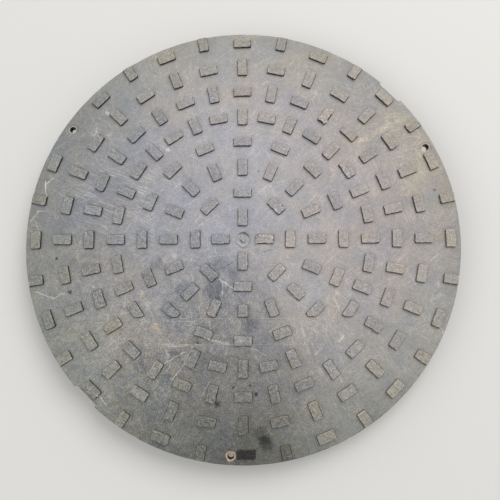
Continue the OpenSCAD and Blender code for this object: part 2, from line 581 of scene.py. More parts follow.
def rib_lines():
    """The spokes as straight lines and the rings as loops of short ones, at the ribs' foot."""
    points, edges = [], []
    z = UNDER_Z + RIB_ROOT
    for spoke in range(SPOKES):
        for radius in (rib_start(spoke), SKIRT_R - SKIRT_T / 2 - 0.5):
            points.append((*polar(radius, spoke * SPOKE_STEP), z))
        edges.append((len(points) - 2, len(points) - 1))
    for i in range(1, RIB_RINGS + 1):
        first = len(points)
        for k in range(RING_STEPS):
            points.append((*polar(rib_ring_r(i), 2 * math.pi * k / RING_STEPS), z))
            edges.append((first + k, first + (k + 1) % RING_STEPS))
    return points, edges


def rib_tree():
    """Sweeps a drafted section, rounded at its free edge, along every line it is given."""
    tree, w, given, result = geometry_tree(
        "drafted_ribs", ["Rib thickness", "Rib height", "Draft", "Edge round"]
    )
    lines = w.node("GeometryNodeMeshToCurve", {"Mesh": given["Geometry"]})
    upright = w.node("GeometryNodeSetCurveNormal", {"Curve": lines.outputs[0]}, mode="Z_UP")
    foot = w.times(given["Rib thickness"], 0.5)
    lip = w.math("SUBTRACT", foot, given["Draft"])
    depth = given["Rib height"]
    corners = {
        "Point 1": w.joined(foot, 0.0), "Point 2": w.joined(lip, depth),
        "Point 3": w.joined(w.times(lip, -1.0), depth), "Point 4": w.joined(w.times(foot, -1.0), 0.0),
    }
    outline = w.node("GeometryNodeCurvePrimitiveQuadrilateral", corners, mode="POINTS")
    rounded = w.node(
        "GeometryNodeFilletCurve",
        {"Curve": outline.outputs[0], "Radius": given["Edge round"], "Count": 3}, mode="POLY",
    )
    swept = w.node(
        "GeometryNodeCurveToMesh",
        {"Curve": upright.outputs[0], "Profile Curve": rounded.outputs[0], "Fill Caps": True},
    )
    whole = w.node("GeometryNodeRealizeInstances", {"Geometry": swept.outputs[0]})
    w.feed(result, painted(w, whole.outputs[0], given["Material"]))
    return tree


rib_points, rib_edges = rib_lines()
rib_recipe = rib_tree()
print("the ribs follow", len(rib_edges), "lines, and their tree has", len(rib_recipe.nodes), "nodes")

# %% [markdown]
# ## One tread pad
#
# A pad is a low block 18.5 by 10 mm at its foot. Its sides lean in by six degrees, its
# corners are round in plan, its upper edge is worn round, and a small fillet leads its foot
# into the plate. It is built as a stack of outlines, each drawn in from the one below. Every
# point remembers how far it is drawn in, so that a pad cut short later keeps its round edge.

# %% A pad as a stack of outlines
PAD_L = 18.5
PAD_W = 10.0
PAD_CORNER = 1.3
LONG_STEPS, SHORT_STEPS = 6, 4
PAD_LAYERS = [
    # drawn in, height above the plate
    (-1.15, -0.40), (-1.00, 0.02), (-0.22, 0.08), (0.0, 0.35), (0.12, 1.4),
    (0.24, 2.5), (0.32, 2.82), (0.50, 2.96), (0.95, 3.0), (2.0, 3.0), (3.6, 3.0),
]


def pad_outline(inset):
    """A rounded rectangle, drawn in by the given distance, with points along its sides too."""
    r = max(PAD_CORNER - inset, 0.3)
    x, y = PAD_L / 2 - inset - r, PAD_W / 2 - inset - r
    middles = [(x, y), (-x, y), (-x, -y), (x, -y)]
    corners = [arc(cx, cy, r, 90 * i, 90 * i + 90, 3) for i, (cx, cy) in enumerate(middles)]
    points = []
    for i, corner in enumerate(corners):
        (ax, ay), (bx, by) = corner[-1], corners[(i + 1) % 4][0]
        steps = SHORT_STEPS if i % 2 else LONG_STEPS
        points += corner
        points += [
            (ax + (bx - ax) * k / steps, ay + (by - ay) * k / steps) for k in range(1, steps)
        ]
    return points


def pad_form():
    """One pad about the origin, its foot sunk a little into the plane z = 0."""
    outlines = [pad_outline(inset) for inset, _ in PAD_LAYERS]
    n = len(outlines[0])
    points = [(x, y, z) for loop, (_, z) in zip(outlines, PAD_LAYERS) for x, y in loop]
    faces = band_faces(len(outlines), n, flipped=True)
    faces += [tuple(range(n - 1, -1, -1)), tuple(range(len(points) - n, len(points)))]
    made = piece_from("pad_form", points, faces)
    number_points(made.data, "drawn_in", [inset * MM for inset, _ in PAD_LAYERS for _ in range(n)])
    return made


pad = pad_form()
print("one pad has", len(pad.data.polygons), "faces")

# %% [markdown]
# ## Where the pads go
#
# The tread is a chequer laid out on rings. The rings fill up outwards with 4, 8, 16, 16 and
# then 32 pads, and a pad lies along the radius where its ring and spoke numbers add up to an
# odd number, and across it otherwise. Five pads are left out, four of them for the bare
# places beside the label strip and one for a screw hole. The last ring's radial pads run out
# over the rim, and the pads just above the label strip are cut short along it.

# %% The rule of the tread
RINGS = 8
SPOKE_SKIP = {1: 8, 2: 4, 3: 2, 4: 2}
FIRST_RING_R = 23.0
RING_PITCH = 27.5
OUTER_RING_R = RIM_R - 11.0
SCREW_SPOKE = 13
LABEL_SPOKES = (20, 21, 27, 28)
LABEL_RING = 5
STRIP_TOP = -81.5
STRIP_H = 26.0
STRIP_L = 168.0
STRIP_CLEAR = 1.5
NUDGED = {(8, 24): math.radians(0.7)}
CHEWED = {
    (1, 0): 0.8, (2, 4): 0.5, (3, 14): 0.35, (5, 3): 0.45, (6, 5): 0.7, (6, 18): 0.8, (6, 19): 0.5,
}
BLACKENED = {(8, 24): 1.0, (8, 25): 0.35}


def lies_radially(ring, spoke):
    return (ring + spoke) % 2 == 1


def is_left_out(ring, spoke):
    label = ring == LABEL_RING and spoke in LABEL_SPOKES
    return label or (ring == RINGS and spoke == SCREW_SPOKE)


def pad_radius(ring, spoke):
    """Radius of a pad's middle. The last ring's radial pads run out over the rim."""
    if ring == 1:
        return FIRST_RING_R
    radius = OUTER_RING_R - (RINGS - ring) * RING_PITCH
    if ring == RINGS and lies_radially(ring, spoke):
        radius += (PAD_L - PAD_W) / 2
    return radius


def pad_places():
    """(ring, spoke, x, y, turn) of every pad on the tread."""
    places = []
    for ring in range(1, RINGS + 1):
        for spoke in range(0, SPOKES, SPOKE_SKIP.get(ring, 1)):
            if is_left_out(ring, spoke):
                continue
            a = spoke * SPOKE_STEP + NUDGED.get((ring, spoke), 0)
            turn = a + (0 if lies_radially(ring, spoke) else math.pi / 2)
            places.append((ring, spoke, *polar(pad_radius(ring, spoke), a), turn))
    return places


places = pad_places()
print("the tread has", len(places), "pads")

# %% [markdown]
# ## Growing the tread
#
# The tree sets one pad on every point, turned by the point's own angle. It presses back what
# stands over the rim or into the label strip. Then it roughens the pads: a fine noise takes
# the crispness off every edge, and a coarser one tears at the few pads that something hard
# has bitten. The feet stay put, so that no pad lifts off the plate.

# %% Tread tree
WELD = 0.03
FOOT_REACH = 0.6
WORN_FROM, WORN_FULLY = 0.5, 2.4


def dotted_pads(w, given, turn):
    """One pad on every point, turned by the given angle, as real mesh."""
    form = w.node("GeometryNodeObjectInfo", {"Object": given["Pad"]})
    facing = w.node("FunctionNodeEulerToRotation", {0: w.joined(z=turn)})
    values = {
        "Points": given["Geometry"], "Instance": form.outputs["Geometry"],
        "Rotation": facing.outputs[0],
    }
    dotted = w.node("GeometryNodeInstanceOnPoints", values)
    return w.node("GeometryNodeRealizeInstances", {"Geometry": dotted.outputs[0]}).outputs[0]


def pressed_place(w, given, place, drawn_in, shortened):
    """The place of a point, pressed inside the rim and, on a shortened pad, off the strip."""
    x, y, z = w.parts(place)
    radius = w.vector("LENGTH", w.vector("MULTIPLY", place, (1.0, 1.0, 0.0)))
    reach = w.math("MAXIMUM", drawn_in, -FOOT_REACH * MM)
    limit = w.math("SUBTRACT", given["Rim limit"], reach)
    squeeze = w.math("MINIMUM", 1.0, w.math("DIVIDE", limit, radius))
    edge = w.math("ADD", given["Strip edge"], drawn_in)
    lift = w.times(w.math("MAXIMUM", 0.0, w.math("SUBTRACT", edge, y)), shortened)
    return w.joined(w.times(x, squeeze), w.math("ADD", w.times(y, squeeze), lift), z)


def tread_tree():
    tree, w, given, result = geometry_tree(
        "tread_pads",
        ["Rim limit", "Strip edge", "Plate height", "Edge wear", "Wear grain", "Bite depth",
         "Bite size"],
        Pad="Object", Seed="Int",
    )

    def number(label):
        values = {"Name": label}
        return w.node("GeometryNodeInputNamedAttribute", values, data_type="FLOAT").outputs[0]

    def rough(size, droop):
        """Noise that points every way, and a little more down than up."""
        scaled = w.vector("DIVIDE", place, w.joined(size, size, size))
        values = {"Vector": scaled, "W": given["Seed"], "Scale": 1.0, "Detail": 2.0}
        grain = w.node("ShaderNodeTexNoise", values, noise_dimensions="4D")
        return w.vector("SUBTRACT", grain.outputs["Color"], (0.5, 0.5, droop))

    whole = dotted_pads(w, given, number("turn"))
    place = w.node("GeometryNodeInputPosition").outputs[0]
    pressed = pressed_place(w, given, place, number("drawn_in"), number("shortened"))
    fitted = w.node("GeometryNodeSetPosition", {"Geometry": whole, "Position": pressed})
    values = {"Geometry": fitted.outputs[0], "Distance": WELD * MM}
    welded = w.node("GeometryNodeMergeByDistance", values)

    fine = w.vector("SCALE", rough(given["Wear grain"], 0.55), scale=given["Edge wear"])
    bitten = w.times(given["Bite depth"], number("chewed"))
    deep = w.vector("SCALE", rough(given["Bite size"], 0.56), scale=bitten)
    height = w.math("SUBTRACT", w.parts(place)["Z"], given["Plate height"])
    above_foot = w.fade(height, WORN_FROM * MM, WORN_FULLY * MM)
    shift = w.vector("SCALE", w.vector("ADD", fine, deep), scale=above_foot)
    worn = w.node("GeometryNodeSetPosition", {"Geometry": welded.outputs[0], "Offset": shift})
    w.feed(result, painted(w, worn.outputs[0], given["Material"]))
    return tree


tread_recipe = tread_tree()
print("the tread's tree has", len(tread_recipe.nodes), "nodes")

# %% [markdown]
# ## The gate mark and the label strip's lines
#
# Molten plastic enters the mould at the centre, and the broken-off gate leaves a rough stub
# in a shallow dish. A changeable insert below it carries the label, and the seam around the
# insert leaves a hair-fine raised line: two long edges and two short ends. The label's words
# are left off, and only three of the tread's pads stand inside the line. The gate mark and
# the line are drawn directly in mesh code, because each is a small shape.

# %% Gate mark and insert lines
STUB_R = 4.3
TURN_STEPS = 72


def gate_section():
    """Stub, dish and low ring around it, from the axis outwards and back under the plate."""
    return from_top([
        (0.0, 1.45), (1.3, 1.52), (2.2, 1.40), (2.9, 1.05), (3.15, 0.42), (3.6, 0.20), (5.0, 0.18),
        (5.9, 0.24), (6.3, 0.62), (6.7, 0.74), (7.3, 0.68), (7.9, 0.34), (8.6, 0.05),
        (8.8, -0.10), (8.8, -0.45), (0.0, -0.45),
    ])


def broken(x, y, z):
    """Makes the stub lopsided and torn, and the ring around it a little uneven."""
    stub = clipped((STUB_R - math.hypot(x, y)) / 0.9)
    lean = 1 + 0.16 * smooth(math.atan2(y, x), 1.5, 0.5)
    wide = (0.95 + 0.05 * stub) * (1 - 0.08 * stub * y / 3)
    long = 1.14 + 0.48 * stub
    rise = 0.6 * smooth(x / 1.3, y / 1.3, 4.0) * stub + 0.12 * smooth(x / 2.2, y / 2.2, 9.0)
    return (x * lean * wide + 0.4, y * lean * long + 0.6 * stub, z + (rise if z > TOP else 0))


def insert_line(length, lane, place):
    """Points and faces of one raised hairline that fades into the plate at its ends."""
    points, steps = [], round(length / 2)
    profile = [(-0.45, -0.4), (-0.32, 0.0), (-0.12, 0.17), (0.12, 0.17), (0.32, 0.0), (0.45, -0.4)]
    n = len(profile)
    for i in range(steps + 1):
        along = length * (i / steps - 0.5)
        swell = min(1.0, 0.15 + (length / 2 - abs(along)) / 10)
        swell *= 0.75 + 0.5 * smooth(along / 14, lane, 0.0)
        sway = 0.12 * smooth(along / 30, lane, 5.0)
        for across, up in profile:
            points.append((*place(along, sway + across), TOP + up * (swell if up > 0 else 1)))
    ends = [tuple(range(n)), tuple(steps * n + k for k in range(n - 1, -1, -1))]
    return points, band_faces(steps + 1, n) + ends


def insert_lines():
    """The upper and lower edges of the insert, then its two ends."""
    middle, end = STRIP_TOP - STRIP_H / 2, STRIP_L / 2
    drawn = [
        insert_line(STRIP_L, 3.0, lambda a, c: (a, STRIP_TOP + c)),
        insert_line(STRIP_L, 11.0, lambda a, c: (a, STRIP_TOP - STRIP_H + c)),
        insert_line(STRIP_H, 17.0, lambda a, c: (-end - c, middle + a)),
        insert_line(STRIP_H, 23.0, lambda a, c: (end - c, middle + a)),
    ]
    points, faces = [], []
    for more, more_faces in drawn:
        faces += [tuple(len(points) + i for i in face) for face in more_faces]
        points += more
    return piece_from("insert_lines", points, faces)


gate_mark = turned_solid("gate_mark", gate_section(), TURN_STEPS, broken)
lines = insert_lines()
print("gate mark of", len(gate_mark.data.polygons), "faces")

# %% [markdown]
# ## Scratches
#
# Scuffed plastic is mostly hair-fine lines. A cell texture scatters points over the plate
# and gives each cell a random colour. The group below reads that colour as an angle and a
# bend, and draws one short line through the cell's point. Used several times at different
# sizes it gives both the dense fine scuffing and the longer scratches. A second, simpler
# group draws one gouge exactly where it is wanted.

# %% Scratch groups
FULL_TURN = 2 * math.pi


def scratch_group(name, **inputs):
    """A shader group that is given the place and more, and hands back how much of a mark it is."""
    return new_tree(name, "Shader", {"Place": "Vector", **inputs}, {"Mask": "Float"})


def scattered_scratches():
    tree, w, given, result = scratch_group(
        "scattered_scratches", Cell="Float", Length="Float", Width="Float", Share="Float"
    )
    cell_size = w.joined(given["Cell"], given["Cell"], given["Cell"])
    scaled = w.vector("DIVIDE", given["Place"], cell_size)
    cell = w.node("ShaderNodeTexVoronoi", {"Vector": scaled, "Scale": 1.0}, voronoi_dimensions="2D")
    luck = w.node("ShaderNodeSeparateColor", {0: cell.outputs["Color"]}).outputs
    spot = w.vector("MULTIPLY", w.vector("SUBTRACT", scaled, cell.outputs["Position"]), cell_size)
    values = {"Vector": spot, "Angle": w.times(luck["Red"], FULL_TURN)}
    facing = w.node("ShaderNodeVectorRotate", values, rotation_type="Z_AXIS")
    x, y, _ = w.parts(facing.outputs[0])
    bow = w.times(w.math("SUBTRACT", luck["Green"], 0.5), 14.0, x, x)
    off_line = w.math("ABSOLUTE", w.math("SUBTRACT", y, bow))
    half = w.times(given["Length"], 0.5)
    along = w.fade(w.math("ABSOLUTE", x), half, w.times(half, 0.5))
    drawn = w.math("LESS_THAN", luck["Blue"], given["Share"])
    w.feed(result, w.times(w.fade(off_line, given["Width"], 0.0), along, drawn))
    return tree


def single_scratch():
    tree, w, given, result = scratch_group("single_scratch", From="Vector", To="Vector", Width="Float")
    flat = w.vector("MULTIPLY", given["Place"], (1.0, 1.0, 0.0))
    run = w.vector("SUBTRACT", given["To"], given["From"])
    reach = w.vector("SUBTRACT", flat, given["From"])
    share = w.math("DIVIDE", w.vector("DOT_PRODUCT", reach, run), w.vector("DOT_PRODUCT", run, run))
    part = w.within(share, 0.0, 1.0)
    gap = w.vector("DISTANCE", reach, w.vector("SCALE", run, scale=part))
    ends = w.math("SUBTRACT", 1.0, w.math("ABSOLUTE", w.math("MULTIPLY_ADD", part, 2.0, -1.0)))
    w.feed(result, w.times(w.fade(gap, given["Width"], 0.0), w.fade(ends, 0.0, 0.15)))
    return tree


SCATTERED = scattered_scratches()
SINGLE = single_scratch()
print("scratch groups:", SCATTERED.name, "and", SINGLE.name)

# %% [markdown]
# ## Weathered plastic
#
# The plastic was moulded black. Sun and scuffing turn the faces that point up to a chalky
# grey, palest at the far right, where a painted sheen adds to the wear, and darkest in a
# wedge of painted shade, where the sheen is missing, that opens towards the near edge. One
# number, how pale a spot looks, is built up from slow gradients, blotches, speckle and
# scratches. A second, from cool to warm, is built up beside it. Only then are the two turned
# into a colour, so that every mark shifts the colour the way real wear does.

# %% The place that is shaded
RIM = RIM_R * MM
SHAKE = 2.0 * MM


class Spot:
    """The values that the tones are made of, at the place that is being shaded: flat is that
    place without its height, and shaky is the same place moved about by a little noise."""

    def __init__(self, w, place):
        self.w = w
        self.flat = w.node("ShaderNodeMapping", {"Vector": place, "Scale": (1.0, 1.0, 0.0)}).outputs[0]
        self.x, self.y, _ = w.parts(w.vector("DIVIDE", self.flat, (RIM, RIM, RIM)))
        self.out = w.math("DIVIDE", w.vector("LENGTH", self.flat), RIM)
        self.out_squared = w.times(self.out, self.out)
        shake = w.node("ShaderNodeTexNoise", {"Vector": self.flat, "Scale": 200.0, "Detail": 3.0})
        reach, middle = (2 * SHAKE, 2 * SHAKE, 0.0), (-SHAKE, -SHAKE, 0.0)
        nudge = w.vector("MULTIPLY_ADD", shake.outputs["Color"], reach, middle)
        self.shaky = w.vector("ADD", self.flat, nudge)
        self.dust = w.total(w.noise(self.flat, 0.016, detail=5.0, roughness=0.65, distortion=1.0), -0.5)

    def near(self, x, y, reach):
        """1 at a point, fading to 0 at the given distance, all in parts of the rim's radius."""
        away = self.w.vector("DISTANCE", self.flat, (x * RIM, y * RIM, 0.0))
        return self.w.fade(away, reach * RIM, 0.0)

    def patches(self, table):
        """Sum of soft round patches, each given as the three values of near and an amount."""
        return self.w.add_up((self.near(x, y, reach), amount) for x, y, reach, amount in table)

    def wedge(self):
        """1 in a wedge of painted shade, with no sheen, that opens from the middle to the near edge."""
        w = self.w
        depth = w.math("MAXIMUM", w.total(0.05, (self.y, -1.0)), 0.0)
        half_width = w.total(0.2, (depth, 0.65))
        aside = w.math("DIVIDE", w.math("ABSOLUTE", w.total(self.x, 0.08)), half_width)
        return w.times(w.fade(aside, 1.0, 0.2), w.fade(depth, 0.0, 0.4))

    def blotch(self, size, lane=0.0):
        """Noise about zero; its lane moves it so that two noises of one size differ."""
        where = self.w.seen_from(self.flat, move=(-lane, -0.37 * lane, 0.0))
        return self.w.total(self.w.noise(where, size, roughness=0.6), -0.5)


# %% Slow tones of the plate and the pads
PLATE_PATCHES = [
    # middle and reach in parts of the rim's radius, paler by
    (0.0, -0.94, 0.33, -0.06), (-0.40, 0.10, 0.65, -0.022), (-0.78, 0.45, 0.45, -0.040),
    (-0.08, 0.55, 0.55, 0.030), (0.8, -0.4, 0.5, 0.034), (-0.74, 0.02, 0.4, -0.040),
    (0.36, -0.86, 0.3, 0.040), (0.6, 0.66, 0.3, -0.025), (0.2, -0.31, 0.24, 0.038),
]
PAD_PATCHES = [
    (-0.02, -0.92, 0.55, -0.13), (-0.38, -0.08, 0.6, -0.045), (0.82, 0.45, 0.45, -0.035),
]
WARM_PATCHES = [
    # middle and reach, warmer by
    (-0.38, 0.12, 0.85, -0.45), (0.85, 0.45, 0.5, 0.32), (-0.05, -0.05, 0.5, -0.15),
    (-0.75, 0.4, 0.55, -0.25), (-0.5, -0.36, 0.32, 0.38), (-0.08, -0.30, 0.28, -0.28),
    (0.3, 0.0, 0.3, 0.20), (0.05, 0.28, 0.3, -0.24), (0.92, 0.28, 0.3, 0.22),
]
MOTTLED = (-0.35, -0.5, 0.85)  # middle and reach of the strongest mottling


def plate_tone(spot):
    """The plate's paleness before any mark lies on it. It is mottled most on the near left."""
    w = spot.w
    strength = w.total(0.86, (spot.y, -0.08), (spot.near(*MOTTLED), 0.86))
    grain = w.total(
        (spot.blotch(0.055), 0.065), (spot.blotch(0.016), 0.07), (spot.dust, 0.09),
        (spot.blotch(0.0045, lane=1.0), 0.155), (spot.blotch(0.0014, lane=2.0), 0.31),
    )
    # Paler towards the far right, partly wear and partly painted sheen; the wedge is painted shade.
    return w.total(
        0.648, (spot.x, 0.020), (spot.y, 0.040), (spot.out_squared, -0.105),
        (spot.wedge(), -0.108), spot.patches(PLATE_PATCHES), w.times(grain, strength),
    )


def pad_tone(spot, own):
    """The pads vary less over the tread, but each has its own tone and a coarser speckle."""
    w = spot.w
    strength = w.total(0.72, spot.patches([(-0.15, -0.75, 0.95, 0.34), (-0.55, -0.45, 0.7, 0.16)]))
    speckle = w.total((spot.blotch(0.0035, lane=3.0), 0.38), (spot.blotch(0.0013, lane=4.0), 0.72))
    # Paler towards the far right, partly wear and partly painted sheen; the wedge is painted shade.
    return w.total(
        0.600, (spot.x, 0.042), (spot.y, 0.020), (spot.out_squared, -0.045), (spot.wedge(), -0.040),
        spot.patches(PAD_PATCHES), (own, 0.020), (spot.blotch(0.030), 0.08),
        w.times(speckle, strength),
    )


def warmth(spot, extra):
    """0 is cool and bluish, 1 is warm and tan."""
    w = spot.w
    return w.total(
        0.47, (spot.x, 0.08), (spot.y, 0.05), (spot.out_squared, 0.16), spot.patches(WARM_PATCHES),
        (spot.blotch(0.045, lane=5.0), 1.8), (spot.dust, 1.65), (spot.blotch(0.006, lane=6.0), 0.75),
        (w.times(spot.blotch(0.03, lane=10.0), spot.near(*MOTTLED)), 1.3), extra,
    )


def mossiness(spot):
    """Algae turn the rim, and the near side of the plate, a trace greener."""
    w = spot.w
    near_side = w.math("MAXIMUM", w.times(spot.y, -0.68), 0.0)
    return w.total(
        (w.fade(spot.out, 0.66, 0.92), 0.5), near_side, (spot.x, -0.26),
        (spot.blotch(0.012, lane=8.0), 1.0),
    )


print(len(PLATE_PATCHES), "patches on the plate,", len(PAD_PATCHES), "more on the pads")

# %% [markdown]
# Marks come on top of the slow tones: hairlines that lie everywhere, bundles of them where
# something was dragged, scattered scratches, gouges and stains that are placed one by one, and
# some broad smears of dried clay near the far right of the rim. Each placed mark says how
# much paler and how much warmer it makes the plastic. A little noise shakes the place that
# they are measured from, so that none has a ruled edge.

# %% Placed marks
GOUGES = [
    # from, to, width in millimetres, paler by, warmer by
    ((-199, 66), (-207, 59), 0.9, 0.28, 0.0), ((-207, 63), (-207, 53), 1.0, 0.32, 0.0),
    ((-207, 54), (-205, 45), 0.8, 0.24, 0.0), ((-204, 31), (-215, 31), 0.8, 0.17, 0.0),
    ((-213, 32), (-222, 18), 1.0, 0.18, 0.1), ((-155, 122), (-157, 110), 0.8, 0.16, 0.3),
    ((-152, 81), (-143, 74), 0.7, 0.10, 0.0), ((-194, 50), (-183, 45), 0.7, 0.10, 0.0),
    ((-214, -53), (-194, -60), 0.9, 0.22, 0.1), ((-196, -61), (-182, -54), 0.8, 0.18, 0.1),
    ((-139, -71), (-138, -81), 0.6, 0.12, 0.0), ((-107, -124), (-101, -141), 0.6, 0.12, 0.0),
    ((-80, -126), (-58, -114), 0.8, 0.28, 0.1), ((-77, -115), (-62, -132), 0.6, 0.14, 0.0),
    ((-62, -130), (-73, -145), 0.7, 0.20, 0.1), ((-51, -108), (-59, -128), 1.2, 0.16, 0.5),
    ((-33, -144), (-42, -159), 0.8, 0.18, 0.1), ((-47, -101), (-12, -107), 2.0, 0.12, 0.6),
    ((-78, -109), (-38, -108), 2.2, 0.09, 0.5), ((-12, -107), (16, -114), 0.9, 0.11, 0.3),
    ((182, 120), (189, 110), 0.9, 0.14, 0.1), ((188, 109), (180, 99), 1.0, 0.10, 0.1),
    ((102, -98), (96, -106), 1.2, 0.17, 0.3), ((80, -110), (72, -119), 0.8, 0.12, 0.0),
    ((-25, -41), (-8, -52), 0.9, 0.24, 0.6), ((-21, -43), (-21, -71), 0.8, 0.18, 0.3),
    ((-146, -155), (-136, -168), 1.0, 0.20, 0.0), ((18, -14), (31, -11), 0.6, -0.18, 0.0),
    ((-20, -30), (-9, -23), 0.6, -0.20, 0.0), ((-38, -53), (-35, -62), 0.8, 0.12, 0.1),
]
STAINS = [
    # x, y, reach in millimetres, paler by, warmer by
    (-192, -19, 2.0, -0.26, 0.0), (-177, -54, 2.6, -0.26, 0.0), (-153, -49, 2.2, 0.12, 0.1),
    (-103, -56, 3.6, 0.07, 1.3), (-89, -90, 7.0, 0.03, 1.2), (-61, -124, 1.8, -0.22, 0.0),
    (-10, -150, 2.0, -0.26, 0.2), (7, -148, 2.0, -0.24, 0.0), (13, -157, 2.2, -0.26, 0.0),
    (-26, -166, 5.2, -0.24, 0.0), (-46, -106, 2.0, -0.20, 0.0), (19, -197, 12.0, -0.13, 0.0),
    (96, -56, 3.6, 0.10, 1.2), (-71, -17, 4.0, 0.06, 1.2), (16, 72, 1.6, -0.20, 0.0),
    (200, 51, 2.0, -0.18, 0.0), (-144, 137, 3.6, 0.14, 0.8), (-79, 96, 2.4, 0.16, 0.2),
    (-32, -113, 3.2, 0.11, 0.0), (-17, -117, 2.4, 0.09, 0.2), (-24, -27, 12.0, -0.09, -0.7),
    (-28, -52, 16.0, -0.12, -0.8), (-62, -50, 9.0, -0.07, -0.6), (8, -88, 12.0, -0.09, -0.6),
    (-88, -24, 11.0, -0.07, -0.3), (-69, -119, 9.0, -0.08, -0.2), (-12, -37, 8.0, -0.07, -0.5),
    (34, 30, 2.4, 0.20, 0.4), (-103, -131, 12.0, -0.05, -0.4), (-80, -138, 14.0, -0.05, -0.5),
    (22, -204, 12.0, -0.12, 0.0),
]
SMEARS = [
    # from, to, width in millimetres, amount
    ((118, 101), (143, 112), 4.0, 1.0), ((138, 110), (156, 124), 4.5, 1.1),
    ((151, 122), (174, 127), 5.0, 1.1), ((143, 134), (176, 129), 6.0, 0.6),
    ((172, 44), (172, 64), 12.0, 0.7), ((164, 66), (212, 73), 15.0, 0.6),
    ((98, 76), (92, 59), 3.6, 0.8), ((182, 92), (193, 94), 5.0, 1.3),
]


def line_mask(spot, start, to, width):
    """1 along the middle of a gouge or a smear, fading out towards its edges and ends."""
    ends = {"From": [v * MM for v in (*start, 0)], "To": [v * MM for v in (*to, 0)]}
    values = {"Place": spot.shaky, "Width": width * MM, **ends}
    return spot.w.node("ShaderNodeGroup", values, node_tree=SINGLE).outputs[0]


def stain_mask(spot, x, y, reach):
    """1 in the middle of a stain, fading out towards its ragged edge."""
    away = spot.w.vector("DISTANCE", spot.shaky, (x * MM, y * MM, 0.0))
    ragged = spot.w.total(away, (spot.dust, 1.6 * reach * MM))
    return spot.w.fade(ragged, reach * MM, 0.25 * reach * MM)


def placed_masks(spot):
    """Every gouge and stain, as its mask, how much paler it is and how much warmer."""
    for start, to, width, pale, warm in GOUGES:
        yield line_mask(spot, start, to, width), pale, warm
    for x, y, reach, pale, warm in STAINS:
        yield stain_mask(spot, x, y, reach), pale, warm


def placed_marks(spot):
    """How much paler and how much warmer the placed marks make a spot."""
    w, paler, warmer = spot.w, 0.0, 0.0
    for mask, pale, warm in placed_masks(spot):
        paler = w.add_up([(mask, pale)], paler)
        if warm:
            warmer = w.add_up([(mask, warm)], warmer)
    return paler, warmer


def smear_marks(spot):
    """Clay that dried in streaks."""
    w = spot.w
    streaks = w.fade(w.noise(spot.flat, 0.006, detail=5.0, distortion=1.5), 0.32, 0.60)
    covered = w.add_up((line_mask(spot, a, b, width), amount) for a, b, width, amount in SMEARS)
    return w.times(streaks, covered)


print(len(GOUGES), "gouges,", len(STAINS), "stains and", len(SMEARS), "smears")

# %% Hairlines and scattered scratches
BRUSHED = [
    # fall in degrees, strength
    (22, 0.11), (-35, 0.10), (68, 0.10), (-75, 0.09), (128, 0.09),
]
DRAGGED = [
    # middle and reach in parts of the rim's radius, fall in degrees, strength
    (-0.55, 0.22, 0.45, 21, 0.19), (-0.36, -0.62, 0.20, -58, 0.20), (0.34, -0.50, 0.28, 60, 0.16),
    (-0.30, -0.36, 0.25, 12, 0.14), (0.74, 0.50, 0.30, -14, 0.12), (-0.10, -0.30, 0.2, -50, 0.12),
]
DRAG_SPREAD = (-4, 5)
SCATTER = [
    # cell, length, width in metres, share of the cells, strength
    (0.009, 0.008, 0.00032, 0.9, 0.06), (0.022, 0.020, 0.00038, 0.8, 0.07),
    (0.050, 0.046, 0.00045, 0.7, 0.09), (0.085, 0.080, 0.00055, 0.6, 0.08),
]
STREAK_SIZE = (0.018, 0.0008, 1.0)
PATCH_SIZE = (0.035, 0.035, 1.0)


def brushed(spot, fall, lane, cover=0.0):
    """A bundle of near-parallel hairlines, as a dragged foot full of grit leaves them. They fall
    by the given angle towards the right, and lie in patches. The lane is any number that no
    other bundle has, and gives this one lines of its own."""
    w, move = spot.w, (0.0, 0.0, -lane)
    stretched = w.seen_from(spot.flat, move, -math.radians(fall), STREAK_SIZE)
    streak = w.fade(w.noise(stretched, 1.0, detail=2.0), 0.54, 0.72)
    patches = w.seen_from(spot.flat, move, 0.0, PATCH_SIZE)
    patch = w.fade(w.total(w.noise(patches, 1.0, detail=2.0), cover), 0.50, 0.62)
    return w.times(streak, patch)


def scratch_layers(spot):
    """Every layer of scratches with its strength: hairlines all over, bundles where something
    was dragged, one patch of steep ones on the near side of the middle, and scattered ones."""
    w = spot.w
    for i, (fall, strength) in enumerate(BRUSHED):
        yield brushed(spot, fall, 3.7 * i), strength
    for x, y, reach, fall, strength in DRAGGED:
        for more in DRAG_SPREAD:
            bundle = brushed(spot, fall + more, 31.0 + more + 3 * x, cover=0.12)
            yield w.times(bundle, spot.near(x, y, reach)), strength
    yield w.times(brushed(spot, 78, 57.0, cover=0.25), spot.near(-0.12, -0.30, 0.34)), 0.17
    for cell, length, width, share, strength in SCATTER:
        values = {"Place": spot.flat, "Cell": cell, "Length": length, "Width": width, "Share": share}
        yield w.node("ShaderNodeGroup", values, node_tree=SCATTERED).outputs[0], strength


def scratch_marks(spot):
    return spot.w.add_up(scratch_layers(spot))


print("scratches in", len(BRUSHED) + len(DRAG_SPREAD) * len(DRAGGED) + 1 + len(SCATTER), "layers")

# %% [markdown]
# The last step turns paleness and warmth into a colour. Paleness is meant as it looks on
# screen, so it is raised to the power 2.2 to become the linear value that shading needs.

# %% Paleness and warmth into colour
COOL_TINT = (0.937, 0.925, 0.997, 1.0)
WARM_TINT = (1.056, 0.949, 0.866, 1.0)
MOSS_TINT = (0.974, 1.048, 0.974, 1.0)
BLACK_PLASTIC = screen(35, 32, 30)
RIM_PLASTIC = screen(56, 53, 50)
# The tan that flanks facing the far left are painted with, as if light fell on them: a painted
# highlight.
LIT_FLANK_TAN = screen(122, 113, 102)
SCREEN_POWER = 2.2


